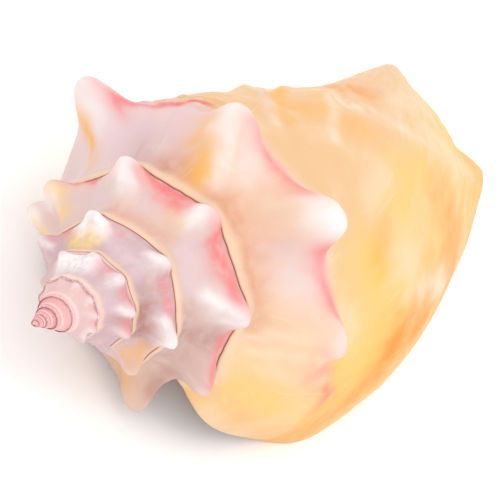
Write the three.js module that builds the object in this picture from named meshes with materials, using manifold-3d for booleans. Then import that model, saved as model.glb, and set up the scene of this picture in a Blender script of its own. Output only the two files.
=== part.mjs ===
// A large right-handed conch shell, lying on its opening.
// Lengths are millimetres. The shell is first built around its own axis, with the tip at the
// start of the axis and the front end further along it, and is turned onto its rest at the end.
// A turn is one full coil: turn 0 ends on the back of the last coil, the side that faces up.

import * as THREE from 'three';
import Module from 'manifold-3d';

const wasm = await Module();
wasm.setup();

// Growth along the coil
const GROWTH_PER_TURN = 1.5;
const LIP_TURN = 0.305;
const COILS = 7;
const STEPS_PER_TURN = 72;

// Colour and surface
const SHELL_COLOUR = 0xf3c9a4;
const SHELL_ROUGHNESS = 0.38;

// Across one coil: 0 is the seam with the coil above, 1 is the front end of the shell
const SEAM = 0.36;
const ACROSS = [0, 0.10, 0.20, 0.30, 0.36, 0.46, 0.58, 0.70, 0.85, 1.0];
const ROWS_TIP = [0, 0.12, 0.22, 0.30, 0.36];
const ROWS_COIL = [0, 0.09, 0.17, 0.24, 0.30, 0.33, 0.36];
const ROWS_WALL = [0.40, 0.44, 0.49, 0.54, 0.59, 0.64, 0.68, 0.72, 0.76, 0.80, 0.84, 0.88, 0.94, 1.0];
const COARSE_BEFORE_TURN = -3.2;

// The sloping top of a coil at turn 0: distance from the axis, and height from the tip
const RAMP = [[32.4, 51.2], [36.3, 59.1], [42.3, 66.6], [48.9, 72.3]];
const SEAM_POINT = [50.7, 77.1];
// The first coils stand out from the cone of the later ones, and each takes on its own height
// step by step across its top
const LIFT_SHARE_STEP = 0.35;
const TIP_LIFT_TURNS = [-9.3, -5.9, -4.9, -3.95, -3.2, 1.0];
const TIP_LIFT = [-0.45, 2.4, 3.3, 4.8, 6.9, 6.9];
const TIP_HEIGHT = 0.85;

// The wall from below the seam to the front end, drawn at these turns, from inside to the lip
const WALL_TURNS = [-1.3, -0.70, -0.45, -0.20, 0.0, 0.15, 0.25, 0.305];
const WALL = [
  [[27.0, 61.5], [22.8, 81.0], [16.2, 114], [10.2, 168], [7.2, 222]],
  [[33.6, 77.4], [29.4, 99.0], [22.2, 129], [13.2, 177], [9.0, 228]],
  [[38.1, 87.0], [34.5, 108], [27.9, 138], [16.8, 181], [11.4, 232]],
  [[45.0, 93.0], [41.1, 115], [35.4, 144], [25.2, 186], [18.0, 237]],
  [[51.6, 99.0], [49.5, 120], [44.7, 150], [34.2, 189], [26.7, 241]],
  [[60.0, 105], [61.8, 129], [57.9, 156], [45.3, 194], [32.0, 220]],
  [[73.5, 110], [76.2, 135], [71.1, 164], [55.2, 201], [36.3, 223]],
  [[83.8, 116], [84.2, 142], [76.4, 171], [60.6, 208], [42.0, 236]],
];

// At the lip the shoulder is gone and the top of the coil bulges
const LIP_RAMP = [[47.4, 67.8], [58.8, 73.2], [68.4, 84.9], [75.0, 97.5]];
const LIP_RAMP_FROM_TURN = 0.13;

// How far across a coil its top edge is bent to sit on the coil above
const SEAT_ACROSS = 0.20;

// The lip leans back toward the front end: degrees behind the seam
const LEAN_ACROSS = [0, 0.36, 0.46, 0.58, 0.70, 0.85, 1.0];
const LEAN_DEGREES = [0, 0, -3, -8, -15, -33, -63];
const LEAN_FROM_TURN = -1.2;
const LEAN_FULL_AFTER_TURNS = 0.5;

// The blunt knobs on the shoulder: [turn, share of a full knob]
const KNOBS = [
  [-0.61, 0.3], [-0.52, 0.25], [-0.42, 0.3],
  [-0.222, 1.40], [-0.069, 1.08], [0.042, 1.40], [0.15, 1.05],
  [-1.55, 0.2], [-1.45, 0.2],
  [-1.325, 1.2], [-1.278, 1.1], [-1.144, 1.0], [-1.008, 1.0], [-0.872, 1.0], [-0.747, 1.0],
  [-0.642, 1.28],
  [-2.311, 1.05], [-2.161, 0.9], [-1.978, 1.0], [-1.817, 1.0], [-1.694, 0.9],
  [-3.361, 0.6], [-3.222, 0.7], [-3.097, 0.7], [-2.989, 0.8], [-2.883, 0.8], [-2.806, 0.8],
  [-2.694, 0.6],
  [-4.361, 0.4], [-4.264, 0.4], [-4.167, 0.4], [-4.069, 0.5], [-3.964, 0.5], [-3.878, 0.5],
  [-3.794, 0.5], [-3.694, 0.7],
];
const KNOB_OUT = 14.7;
const KNOB_TOWARD_TIP = 3.9;
// A knob is a blunt top on a wide foot, and close knobs run together smoothly
const KNOB_TOP_SHARE = 0.6;
const KNOB_TOP_DEGREES = 8.5;
const KNOB_FOOT_DEGREES = 21;
const KNOB_BLUNTNESS = 2.6;
const KNOB_JOIN = 4;
const KNOB_REACH_DEGREES = 60;
const KNOB_ACROSS = [0.0, 0.08, 0.16, 0.24, 0.30, 0.36, 0.42, 0.50, 1.0];
const KNOB_SHARE = [0.0, 0.06, 0.26, 0.66, 1.0, 0.45, 0.12, 0.0, 0.0];

// Low ridges that run round the last coil's wall:
// [across at turn 0, drift across per turn, height, half width across, first turn, last turn]
const RIDGES = [
  [0.67, 1.03, 2.0, 0.035, -0.10, 0.40],
  [0.56, 0.35, 1.3, 0.035, -0.30, 0.10],
];
const RIDGE_FADE_TURNS = 0.08;

// Small swellings under the shoulder: [turn, across, height, half width in degrees, and across]
const SWELLINGS = [
  [-0.135, 0.45, 2.0, 14, 0.09],
  [-0.118, 0.60, 2.6, 6, 0.05],
  [-0.078, 0.63, 2.4, 6, 0.05],
  [-0.045, 0.68, 2.0, 6, 0.05],
];

// The opening and the room behind it
const WALL_THICKNESS = 4.0;
const LIP_THICKNESS = 2.8;
const THINS_FROM_TURN = 0.15;
const OPENING_DEPTH_TURNS = 0.55;
const OPENING_PAST_LIP_TURNS = 0.05;
const OPENING_STEPS = 24;
const OPENING_ROWS = [0.13, 0.20, 0.27, 0.33, 0.40, 0.48, 0.58, 0.68, 0.80, 0.90, 1.0];
const COLUMN_GAP = 1.3;
const COLUMN_START = 0.06;
const PAST_FRONT_END = 14;

// Where the foot of the column closes on the axis
const FOOT_HEIGHT = 233;

// The rest: turned about the shell's axis, then tipped until lip, front end and belly touch
const BACK_UP_DEGREES = -7.522;
const FRONT_DOWN_DEGREES = 9.679;

// A smooth line through points that never overshoots between them
function monotone(x, xs, ys) {
  const n = xs.length;
  const at = Math.min(Math.max(x, xs[0]), xs[n - 1]);
  let i = 0;
  while (i < n - 2 && at >= xs[i + 1]) {
    i += 1;
  }
  const slope = (k) => (ys[k + 1] - ys[k]) / (xs[k + 1] - xs[k]);
  const tangent = (k) => {
    if (k === 0) {
      return slope(0);
    }
    if (k === n - 1) {
      return slope(n - 2);
    }
    const a = slope(k - 1);
    const b = slope(k);
    if (a * b <= 0) {
      return 0;
    }
    const before = xs[k] - xs[k - 1];
    const after = xs[k + 1] - xs[k];
    const w1 = 2 * after + before;
    const w2 = after + 2 * before;
    return (w1 + w2) / (w1 / a + w2 / b);
  };
  return hermite((at - xs[i]) / (xs[i + 1] - xs[i]), xs[i + 1] - xs[i], ys[i], ys[i + 1],
    tangent(i), tangent(i + 1));
}

function hermite(u, step, from, to, startSlope, endSlope) {
  const v = 1 - u;
  return from * (1 + 2 * u) * v * v + startSlope * step * u * v * v
    + to * u * u * (3 - 2 * u) + endSlope * step * u * u * (u - 1);
}

function smooth(x) {
  const u = Math.min(Math.max(x, 0), 1);
  return u * u * (3 - 2 * u);
}

function mix(a, b, share) {
  return a + (b - a) * share;
}

// Where the drawn section passes at this turn, from the seam above to the front end
function sectionPoints(turn) {
  const size = GROWTH_PER_TURN ** turn;
  const lift = monotone(turn, TIP_LIFT_TURNS, TIP_LIFT);
  const liftAbove = monotone(turn - 1, TIP_LIFT_TURNS, TIP_LIFT);
  const flare = smooth((turn - LIP_RAMP_FROM_TURN) / (LIP_TURN - LIP_RAMP_FROM_TURN));
  const points = RAMP.map(([out, down], i) => {
    const own = Math.min(i * LIFT_SHARE_STEP, 1);
    return [out * size, down * size + mix(liftAbove, lift, own)];
  });
  const seam = [SEAM_POINT[0] * size, SEAM_POINT[1] * size + lift];
  for (let i = 1; i <= 3; i += 1) {
    points[i] = [mix(points[i][0], LIP_RAMP[i - 1][0], flare),
      mix(points[i][1], LIP_RAMP[i - 1][1], flare)];
  }
  points.push([mix(seam[0], LIP_RAMP[3][0], flare), mix(seam[1], LIP_RAMP[3][1], flare)]);
  for (let i = 0; i < 5; i += 1) {
    points.push([0, 1].map((k) => monotone(turn, WALL_TURNS, WALL.map((row) => row[i][k]))));
  }
  return points;
}

// A point of the smooth section, before knobs: distance from the axis and height
function sectionPoint(points, across) {
  const n = ACROSS.length;
  let i = 0;
  while (i < n - 2 && across >= ACROSS[i + 1]) {
    i += 1;
  }
  const slope = (k, c) => {
    const a = Math.max(k - 1, 0);
    const b = Math.min(k + 1, n - 1);
    if (a === k || b === k) {
      return (points[b][c] - points[a][c]) / (ACROSS[b] - ACROSS[a]);
    }
    const before = ACROSS[k] - ACROSS[a];
    const after = ACROSS[b] - ACROSS[k];
    const s1 = (points[k][c] - points[a][c]) / before;
    const s2 = (points[b][c] - points[k][c]) / after;
    return (s1 * after + s2 * before) / (before + after);
  };
  const step = ACROSS[i + 1] - ACROSS[i];
  const u = (across - ACROSS[i]) / step;
  return [0, 1].map((c) => hermite(u, step, points[i][c], points[i + 1][c],
    slope(i, c), slope(i + 1, c)));
}

function knobHeight(turn) {
  let sum = 0;
  for (const [at, share] of KNOBS) {
    const degrees = Math.abs(turn - at) * 360;
    if (degrees < KNOB_REACH_DEGREES) {
      const top = Math.exp(-((degrees / KNOB_TOP_DEGREES) ** KNOB_BLUNTNESS));
      const foot = Math.exp(-((degrees / KNOB_FOOT_DEGREES) ** 2));
      sum += (share * mix(foot, top, KNOB_TOP_SHARE)) ** KNOB_JOIN;
    }
  }
  return sum ** (1 / KNOB_JOIN);
}

// How far ridges and swellings stand out from the wall
function wallRelief(turn, across) {
  let out = 0;
  for (const [start, drift, height, half, first, last] of RIDGES) {
    const ends = smooth((turn - first) / RIDGE_FADE_TURNS) * smooth((last - turn) / RIDGE_FADE_TURNS);
    out += height * ends * Math.exp(-(((across - start - drift * turn) / half) ** 2));
  }
  for (const [at, middle, height, degrees, half] of SWELLINGS) {
    const round = ((turn - at) * 360 / degrees) ** 2 + ((across - middle) / half) ** 2;
    out += height * Math.exp(-round);
  }
  return out;
}

// Distance from the axis and height of the outside, knobs included
function outsideSection(turn, across) {
  const point = sectionPoint(sectionPoints(turn), across);
  const knob = knobHeight(turn) * monotone(across, KNOB_ACROSS, KNOB_SHARE)
    * GROWTH_PER_TURN ** turn;
  point[0] += KNOB_OUT * knob + wallRelief(turn, across);
  point[1] -= KNOB_TOWARD_TIP * knob;
  return point;
}

// The same, with the top edge carried onto the coil above
function seatedSection(turn, across) {
  const point = outsideSection(turn, across);
  const above = outsideSection(turn - 1, SEAM);
  const edge = sectionPoint(sectionPoints(turn), 0);
  const hold = Math.max(1 - across / SEAT_ACROSS, 0) ** 1.5;
  return [0, 1].map((c) => point[c] + (above[c] - edge[c]) * hold);
}

function placed([out, down], turn, across) {
  const lean = monotone(across, LEAN_ACROSS, LEAN_DEGREES)
    * smooth((turn - LEAN_FROM_TURN) / LEAN_FULL_AFTER_TURNS);
  const angle = 2 * Math.PI * turn + THREE.MathUtils.degToRad(lean);
  return [out * Math.cos(angle), out * Math.sin(angle), down];
}

// Collects points and triangles
class Sheet {
  constructor() {
    this.points = [];
    this.triangles = [];
  }

  add(point) {
    this.points.push(point);
    return this.points.length - 1;
  }

  triangle(a, b, c) {
    if (a !== b && b !== c && c !== a) {
      this.triangles.push([a, b, c]);
    }
  }

  // Joins two columns of [across, point number] that start level with each other
  join(left, right) {
    let i = 0;
    let j = 0;
    while (i < left.length - 1 || j < right.length - 1) {
      const leftNext = i < left.length - 1 ? left[i + 1][0] : Infinity;
      const rightNext = j < right.length - 1 ? right[j + 1][0] : Infinity;
      if (leftNext < rightNext - 1e-9) {
        this.triangle(left[i][1], right[j][1], left[i + 1][1]);
        i += 1;
      } else if (rightNext < leftNext - 1e-9) {
        this.triangle(left[i][1], right[j][1], right[j + 1][1]);
        j += 1;
      } else {
        this.triangle(left[i][1], right[j][1], right[j + 1][1]);
        this.triangle(left[i][1], right[j + 1][1], left[i + 1][1]);
        i += 1;
        j += 1;
      }
    }
  }

  solid() {
    const mesh = new wasm.Mesh({
      numProp: 3,
      vertProperties: new Float32Array(this.points.flat()),
      triVerts: new Uint32Array(this.triangles.flat()),
    });
    return new wasm.Manifold(mesh);
  }
}

// The outside as one closed form: the coiled sheet, the step at the lip and the front end
function outsideForm() {
  const sheet = new Sheet();
  const last = COILS * STEPS_PER_TURN;
  const bodyStart = last - STEPS_PER_TURN;
  const pole = sheet.add([0, 0, TIP_HEIGHT]);
  const columns = [];
  for (let j = 0; j <= last; j += 1) {
    const turn = LIP_TURN - (last - j) / STEPS_PER_TURN;
    const rows = turn < COARSE_BEFORE_TURN ? ROWS_TIP : ROWS_COIL;
    const above = j >= STEPS_PER_TURN ? seamOf(columns[j - STEPS_PER_TURN]) : pole;
    const column = [[0, above]];
    const all = j >= bodyStart ? rows.concat(ROWS_WALL) : rows;
    for (const across of all.slice(1)) {
      column.push([across, sheet.add(placed(seatedSection(turn, across), turn, across))]);
    }
    columns.push(column);
  }
  for (let j = 0; j < last; j += 1) {
    const whole = j >= bodyStart;
    const left = whole ? columns[j] : columns[j].filter(([across]) => across <= SEAM);
    const right = whole ? columns[j + 1] : columns[j + 1].filter(([across]) => across <= SEAM);
    sheet.join(left, right);
  }
  const start = columns[0];
  for (let i = 1; i < start.length - 1; i += 1) {
    sheet.triangle(pole, start[i][1], start[i + 1][1]);
  }
  closeLipStep(sheet, columns[last], columns[bodyStart]);
  const rim = columns.slice(bodyStart).map((column) => column[column.length - 1][1]);
  const front = sheet.add([0, 0, FOOT_HEIGHT]);
  for (let i = 0; i < rim.length - 1; i += 1) {
    sheet.triangle(rim[i], rim[i + 1], front);
  }
  sheet.triangle(rim[rim.length - 1], rim[0], front);
  return sheet.solid();
}

function seamOf(column) {
  return column.find(([across]) => across === SEAM)[1];
}

// The step between the lip and the coil that it overlaps
function closeLipStep(sheet, lip, wall) {
  const inner = wall.filter(([across]) => across >= SEAM);
  const outer = lip.map(([across, id]) => [across, id]);
  const level = ([across, id]) => [(across - SEAM) / (1 - SEAM), id];
  sheet.join(outer, inner.map(level));
}

// The room inside: the last coil's wall moved in by its thickness, and the coil within it
function roomForm() {
  const sheet = new Sheet();
  const rings = [];
  const from = LIP_TURN - OPENING_DEPTH_TURNS;
  const to = LIP_TURN + OPENING_PAST_LIP_TURNS;
  for (let j = 0; j <= OPENING_STEPS; j += 1) {
    const turn = mix(from, to, j / OPENING_STEPS);
    const ring = roomOuter(turn).concat(roomInner(turn).reverse());
    rings.push(ring.map(([out, down, across]) => sheet.add(placed([out, down], turn, across))));
  }
  const count = rings[0].length;
  for (let j = 0; j < OPENING_STEPS; j += 1) {
    for (let i = 0; i < count; i += 1) {
      const k = (i + 1) % count;
      sheet.triangle(rings[j][i], rings[j + 1][i], rings[j + 1][k]);
      sheet.triangle(rings[j][i], rings[j + 1][k], rings[j][k]);
    }
  }
  const half = count / 2;
  for (const [ring, flip] of [[rings[0], false], [rings[OPENING_STEPS], true]]) {
    for (let i = 0; i < half - 1; i += 1) {
      const quad = [ring[i], ring[i + 1], ring[count - 2 - i], ring[count - 1 - i]];
      if (flip) {
        quad.reverse();
      }
      sheet.triangle(quad[0], quad[1], quad[2]);
      sheet.triangle(quad[0], quad[2], quad[3]);
    }
  }
  return sheet.solid();
}

function roomOuter(turn) {
  const points = sectionPoints(Math.min(turn, LIP_TURN));
  const nearLip = smooth((turn - THINS_FROM_TURN) / (LIP_TURN - THINS_FROM_TURN));
  const thickness = mix(WALL_THICKNESS, LIP_THICKNESS, nearLip);
  const rows = OPENING_ROWS.map((across) => {
    const here = sectionPoint(points, across);
    const before = sectionPoint(points, Math.max(across - 0.02, 0));
    const after = sectionPoint(points, Math.min(across + 0.02, 1));
    const along = [after[0] - before[0], after[1] - before[1]];
    const length = Math.hypot(along[0], along[1]);
    return [here[0] - along[1] / length * thickness, here[1] + along[0] / length * thickness, across];
  });
  const end = rows[rows.length - 1];
  rows.push([end[0], end[1] + PAST_FRONT_END, 1]);
  return rows;
}

function roomInner(turn) {
  const points = sectionPoints(Math.min(turn, LIP_TURN) - 1);
  const rows = OPENING_ROWS.map((across, i) => {
    const share = mix(COLUMN_START, 1, i / (OPENING_ROWS.length - 1));
    const here = sectionPoint(points, mix(SEAM, 1, share));
    return [here[0] + COLUMN_GAP, here[1], across];
  });
  const end = rows[rows.length - 1];
  rows.push([end[0], end[1] + PAST_FRONT_END, 1]);
  return rows;
}

// Turns the shell onto its rest and puts the middle of its footprint at the start of the axes
function laidDown(solid) {
  const mesh = solid.getMesh();
  const geometry = new THREE.BufferGeometry();
  const stride = mesh.numProp;
  const positions = new Float32Array(mesh.vertProperties.length / stride * 3);
  for (let i = 0; i < positions.length / 3; i += 1) {
    for (let k = 0; k < 3; k += 1) {
      positions[3 * i + k] = mesh.vertProperties[stride * i + k];
    }
  }
  geometry.setAttribute('position', new THREE.BufferAttribute(positions, 3));
  geometry.setIndex(new THREE.BufferAttribute(new Uint32Array(mesh.triVerts), 1));
  const backUp = new THREE.Matrix4().makeRotationZ(THREE.MathUtils.degToRad(-BACK_UP_DEGREES));
  const lieDown = new THREE.Matrix4().set(0, 1, 0, 0, 0, 0, 1, 0, 1, 0, 0, 0, 0, 0, 0, 1);
  const frontDown = new THREE.Matrix4().makeRotationX(THREE.MathUtils.degToRad(-FRONT_DOWN_DEGREES));
  geometry.applyMatrix4(backUp);
  geometry.applyMatrix4(lieDown);
  geometry.applyMatrix4(frontDown);
  geometry.computeBoundingBox();
  const box = geometry.boundingBox;
  geometry.translate(-(box.min.x + box.max.x) / 2, -(box.min.y + box.max.y) / 2, -box.min.z);
  geometry.computeVertexNormals();
  return geometry;
}

function buildShell() {
  const form = outsideForm().subtract(roomForm());
  const material = new THREE.MeshStandardMaterial({
    color: SHELL_COLOUR,
    roughness: SHELL_ROUGHNESS,
    metalness: 0,
  });
  const mesh = new THREE.Mesh(laidDown(form), material);
  mesh.name = 'shell';
  return mesh;
}

const conch = new THREE.Group();
conch.name = 'conch_shell';
conch.add(buildShell());

export default conch;
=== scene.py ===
"""A large conch shell lying on its opening, seen from the spire side.

The shell is one fine mesh, drawn as a coiled sheet: a turn says how far round the growth has
come, and across says where a point lies between the seam above (0) and the front end (1).
Section sizes are millimetres around the shell's own axis, and the finished mesh is in metres.
"""
import math

import bpy
import numpy as np
from mathutils import Matrix, Vector


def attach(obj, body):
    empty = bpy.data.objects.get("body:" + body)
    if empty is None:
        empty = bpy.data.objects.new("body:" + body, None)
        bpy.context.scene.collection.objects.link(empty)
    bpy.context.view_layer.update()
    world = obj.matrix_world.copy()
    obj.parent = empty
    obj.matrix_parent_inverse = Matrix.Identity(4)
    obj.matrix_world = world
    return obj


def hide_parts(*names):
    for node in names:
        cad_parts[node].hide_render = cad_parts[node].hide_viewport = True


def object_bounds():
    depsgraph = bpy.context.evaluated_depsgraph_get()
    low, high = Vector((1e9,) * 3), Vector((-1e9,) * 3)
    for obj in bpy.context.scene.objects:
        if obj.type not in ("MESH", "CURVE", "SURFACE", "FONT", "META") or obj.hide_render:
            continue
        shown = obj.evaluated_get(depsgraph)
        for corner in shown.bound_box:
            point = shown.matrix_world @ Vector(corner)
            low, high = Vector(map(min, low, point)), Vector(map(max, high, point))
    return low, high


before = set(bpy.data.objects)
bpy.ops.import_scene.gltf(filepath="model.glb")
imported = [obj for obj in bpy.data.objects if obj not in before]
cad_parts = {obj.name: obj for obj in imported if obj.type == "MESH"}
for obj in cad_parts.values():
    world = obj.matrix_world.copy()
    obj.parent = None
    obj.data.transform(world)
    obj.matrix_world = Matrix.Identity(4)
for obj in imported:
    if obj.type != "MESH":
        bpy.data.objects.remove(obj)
cad_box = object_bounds()

MM = 0.001
TINY = 1e-9

# Growth along the coil
GROWTH_PER_TURN = 1.5
LIP_TURN = 0.305
COILS = 9
STEPS_PER_TURN = 320
FINE_FROM_TURN = -2.75
ROOM_DEPTH_TURNS = 0.6
TIP_HEIGHT = 0.85
FOOT_HEIGHT = 233
NORMAL_STEP = 0.01

# Across one coil
SEAM = 0.36
ROOM_CORNER = 0.385
ACROSS = np.array([0, 0.10, 0.20, 0.30, 0.36, 0.46, 0.58, 0.70, 0.85, 1.0])

# The sloping top of a coil at turn 0, and the seam below it: distance from the axis, height
RAMP = np.array([[32.4, 51.2], [36.3, 59.1], [42.3, 66.6], [48.9, 72.3], [50.7, 77.1]])
# The first coils stand out from the cone of the later ones
TIP_LIFT_TURNS = [-9.3, -5.9, -4.9, -3.95, -3.2, 1.0]
TIP_LIFT = [-0.45, 2.4, 3.3, 4.8, 6.9, 6.9]
LIFT_SHARE = np.array([0, 0.35, 0.7, 1.0, 1.0])
SEAT_ACROSS = 0.20
SEAT_SOFTNESS = 1.5

# The wall from below the seam to the front end, at these turns
WALL_TURNS = [-1.3, -0.70, -0.45, -0.20, 0.0, 0.15, 0.25, 0.305]
WALL = np.array([
    [[27.0, 61.5], [22.8, 81.0], [16.2, 114], [10.2, 168], [7.2, 222]],
    [[33.6, 77.4], [29.4, 99.0], [22.2, 129], [13.2, 177], [9.0, 228]],
    [[38.1, 87.0], [34.5, 108], [27.9, 138], [16.8, 181], [11.4, 232]],
    [[45.0, 93.0], [41.1, 115], [35.4, 144], [25.2, 186], [18.0, 237]],
    [[51.6, 99.0], [49.5, 120], [44.7, 150], [34.2, 189], [26.7, 241]],
    [[60.0, 105], [61.8, 129], [57.9, 156], [45.3, 194], [32.0, 220]],
    [[73.5, 110], [76.2, 135], [71.1, 164], [55.2, 201], [36.3, 223]],
    [[83.8, 116], [84.2, 142], [76.4, 171], [60.6, 208], [42.0, 236]],
])
LIP_RAMP = np.array([[47.4, 67.8], [58.8, 73.2], [68.4, 84.9], [75.0, 97.5]])
LIP_RAMP_FROM_TURN = 0.13

# The lip leans back toward the front end
LEAN_ACROSS = [0, 0.36, 0.46, 0.58, 0.70, 0.85, 1.0]
LEAN_DEGREES = [0, 0, -3, -8, -15, -33, -63]
LEAN_FROM_TURN = -1.2
LEAN_FULL_AFTER_TURNS = 0.5

# Blunt knobs on the shoulder: turn, share of a full knob
KNOBS = [
    (-0.61, 0.3), (-0.52, 0.25), (-0.42, 0.3),
    (-0.222, 1.40), (-0.069, 1.08), (0.042, 1.40), (0.15, 1.05),
    (-1.55, 0.2), (-1.45, 0.2),
    (-1.325, 1.2), (-1.278, 1.1), (-1.144, 1.0), (-1.008, 1.0), (-0.872, 1.0), (-0.747, 1.0),
    (-0.642, 1.28),
    (-2.311, 1.05), (-2.161, 0.9), (-1.978, 1.0), (-1.817, 1.0), (-1.694, 0.9),
    (-3.361, 0.6), (-3.222, 0.7), (-3.097, 0.7), (-2.989, 0.8), (-2.883, 0.8), (-2.806, 0.8),
    (-2.694, 0.6),
    (-4.361, 0.4), (-4.264, 0.4), (-4.167, 0.4), (-4.069, 0.5), (-3.964, 0.5), (-3.878, 0.5),
    (-3.794, 0.5), (-3.694, 0.7),
]
KNOB_OUT = 14.7
KNOB_TOWARD_TIP = 3.9
# A knob is a blunt top on a wide foot, and close knobs run together smoothly
KNOB_TOP_SHARE = 0.6
KNOB_TOP_DEGREES = 8.5
KNOB_FOOT_DEGREES = 21
KNOB_BLUNTNESS = 2.6
KNOB_JOIN = 4
KNOB_REACH_DEGREES = 60
KNOB_ACROSS = [0.0, 0.08, 0.16, 0.24, 0.30, 0.36, 0.42, 0.50, 1.0]
KNOB_SHARE = [0.0, 0.06, 0.26, 0.66, 1.0, 0.45, 0.12, 0.0, 0.0]

# Ridges round the last coil's wall:
# across at turn 0, drift across per turn, height, half width across, first turn, last turn
RIDGES = [
    (0.67, 1.03, 2.0, 0.035, -0.10, 0.40),
    (0.56, 0.35, 1.3, 0.035, -0.30, 0.10),
]
RIDGE_FADE_TURNS = 0.08

# Small swellings under the shoulder: turn, across, height, half width in degrees, and across
SWELLINGS = [
    (-0.135, 0.45, 2.0, 14, 0.09),
    (-0.118, 0.60, 2.6, 6, 0.05),
    (-0.078, 0.63, 2.4, 6, 0.05),
    (-0.045, 0.68, 2.0, 6, 0.05),
]

# Thin ribs that follow old lips: turn and across at both ends, height, half width in degrees
RIBS = [
    (-0.116, 0.670, -0.044, 0.470, 1.3, 2.4),
    (-0.054, 0.785, 0.010, 0.590, 1.0, 1.9),
    (-0.130, 0.720, -0.120, 0.580, 1.2, 2.6),
    (-0.094, 0.740, -0.080, 0.620, 1.0, 2.4),
    (-0.028, 0.800, 0.022, 0.740, 0.7, 2.0),
    (0.012, 0.720, 0.030, 0.560, 0.5, 1.8),
    (0.075, 0.900, 0.120, 0.620, 0.5, 2.0),
]
RIB_END_SHARE = 0.25

# The raised band beside each seam
BAND_HEIGHT = 0.9
BAND_RISES_OVER = 0.012
BAND_FALLS_FROM = 0.030
BAND_FALLS_OVER = 0.035
BAND_FROM_TURN = -4.5
BAND_FADE_TURNS = 1.5

# Low growth ripples all over, calm beside the seam
RIPPLE_HEIGHT = 0.14
RIPPLE_WAVES = 7
RIPPLE_PACES = (18, 60)
RIPPLE_DRIFT = 3
RIPPLE_STARTS = (0, 6.3)
RIPPLE_SHARE = 4.0
RIPPLE_SEED = 3
CALM_BELOW = 0.04
CALM_FADE = 0.08

# The growth frills between the first two big knobs: rows of across, waves and fine waves a turn
FRILL_TURNS = (-0.205, -0.090)
FRILL_FADES = (0.03, 0.02)
FRILL_HEIGHT = 1.5
FRILL_ROWS = [(0.372, 13, 31), (0.402, 17, 38), (0.440, 21, 45)]
FRILL_ROW_SHIFT = 0.3
FRILL_WOBBLE = 0.007
FRILL_UNEVEN = 0.3
FRILL_HALF_ACROSS = 0.007

# The lip's edge is drawn in by uneven waves
MARGIN_FROM_TURN = 0.255
MARGIN_DEPTH = 1.8
MARGIN_ACROSS = (0.50, 0.86)
MARGIN_FADES = (0.06, 0.08)
MARGIN_MIDDLE = 0.5
MARGIN_WAVES = [(11, 0.3, 0), (27, 0.2, 1)]

# Thickness of the wall, inside and at the lip
WALL_THICKNESS = 3.6
LIP_THICKNESS = 1.8
LIP_ROUND_STEPS = 3
LIP_BULGE = 1.0
THINS_FROM_TURN = 0.12
CORNER_PULL_ACROSS = 0.14
CORNER_PULL_SOFTNESS = 1.6

# How the shell lies: turned about its axis, tipped, and moved to the middle of its footprint
BACK_UP_DEGREES = -7.522
FRONT_DOWN_DEGREES = 9.679
REST_SHIFT = (-9.4574, -120.4681, 53.5315)

# The photograph's view, measured in pixels of the 500 x 500 picture
PIXEL_MM = 0.3
VIEW_AXIS_DEGREES = 30.0
VIEW_TILT_DEGREES = 54.5
TIP_PIXEL = (31.5, 325.0)
VIEW_DISTANCE_PIXELS = 2000.0
PICTURE_PIXELS = 500.0
SENSOR_MM = 36.0
CAMERA_REACH = 20

# Brush strokes of colour on the shell. The brush's path is a list of (turn, across), and before
# it stand the half width in millimetres as at turn 0, and the strength.
MM_ROUND_A_TURN = 360
MM_ACROSS_THE_TOP = 100
MM_ACROSS_THE_WALL = 250
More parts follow.
